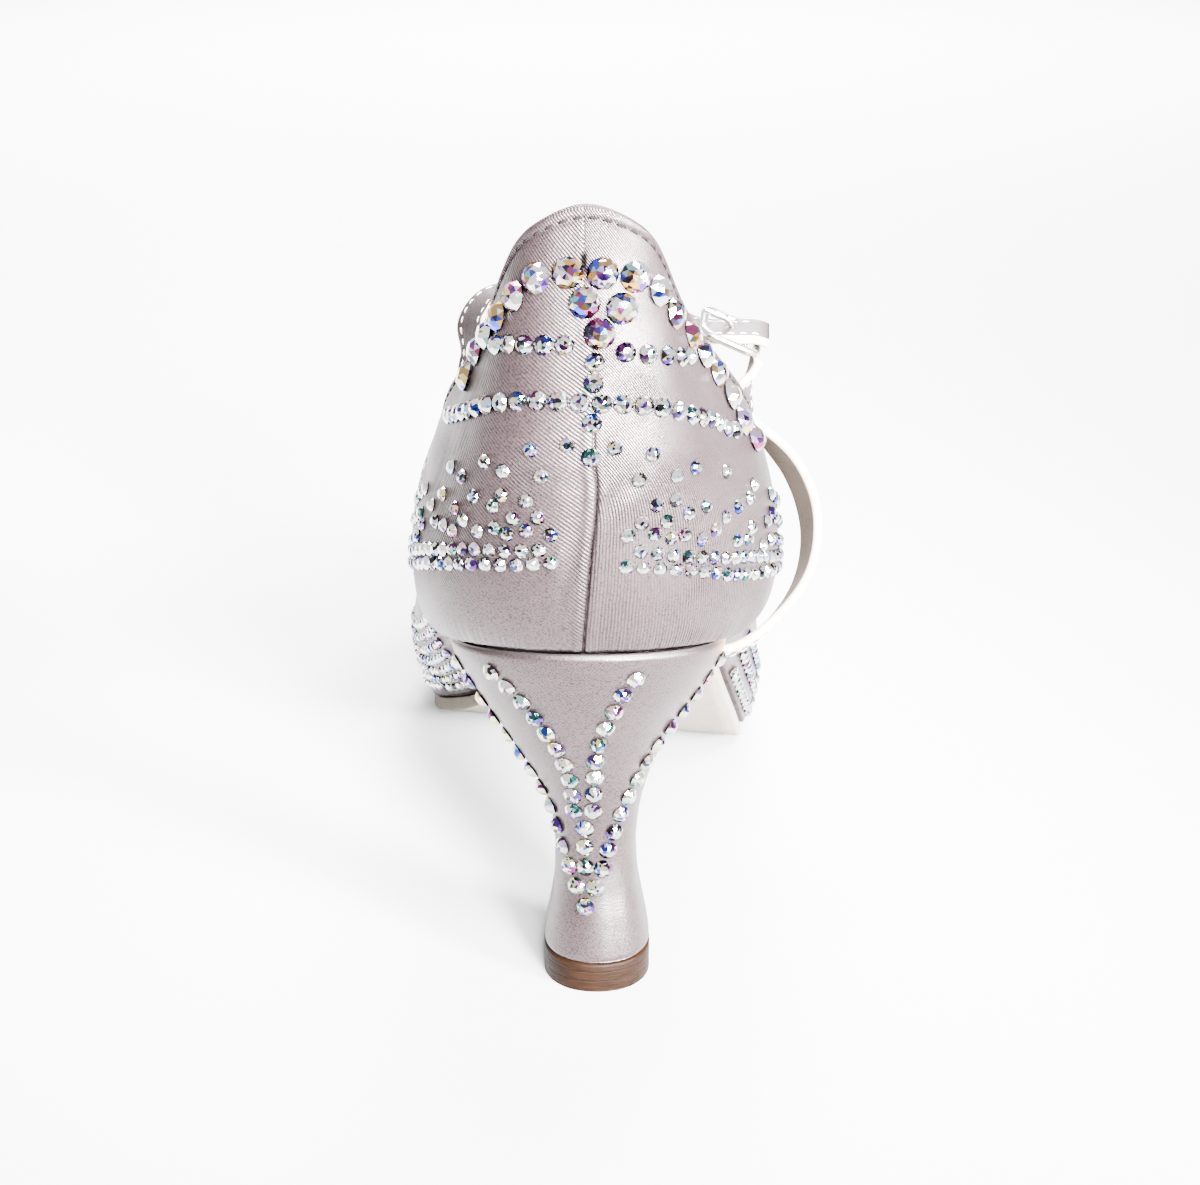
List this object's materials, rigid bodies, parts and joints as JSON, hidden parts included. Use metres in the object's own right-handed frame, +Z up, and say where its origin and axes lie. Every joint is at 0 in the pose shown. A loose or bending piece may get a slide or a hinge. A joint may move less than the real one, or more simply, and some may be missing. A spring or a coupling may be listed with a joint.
{
  "type": "ballroom dance shoe",
  "caption": "High-heeled closed-toe ballroom court shoe in satin with a tall counter, suede sole, flared heel, loose arch strap with buckle and rows of crystals.",
  "frame": {"origin": "bottom centre of the shoe's bounding box, on the plane that the heel tip and the forefoot rest on", "axes": "+Y towards the toe, +X towards the outer side of the right foot, +Z up"},
  "size_m": [0.088, 0.2238, 0.1477],
  "materials": {
    "satin": "lilac-taupe satin with a fine diagonal twill",
    "suede": "grey-beige suede",
    "lining": "matte light lining leather",
    "tip_leather": "dark brown, worn matte",
    "silver": "polished silver tone",
    "crystal": "cut and foiled, with a colour-shifting coat"
  },
  "bodies": {
    "root": {"upper": "satin", "outsole": "suede", "insole": "lining", "heel": "satin", "heel_tip": "tip_leather", "arch_strap": "satin", "buckle_frame": "silver", "buckle_prong": "silver", "crystal_01": "crystal", "crystal_02": "crystal", "crystal_03": "crystal", "crystal_04": "crystal", "crystal_05": "crystal", "crystal_06": "crystal", "crystal_07": "crystal", "crystal_08": "crystal", "crystal_09": "crystal", "crystal_10": "crystal", "crystal_11": "crystal", "crystal_12": "crystal", "crystal_13": "crystal", "crystal_14": "crystal", "crystal_15": "crystal", "crystal_16": "crystal", "crystal_17": "crystal", "crystal_18": "crystal", "crystal_19": "crystal", "crystal_20": "crystal"}
  },
  "joints": []
}
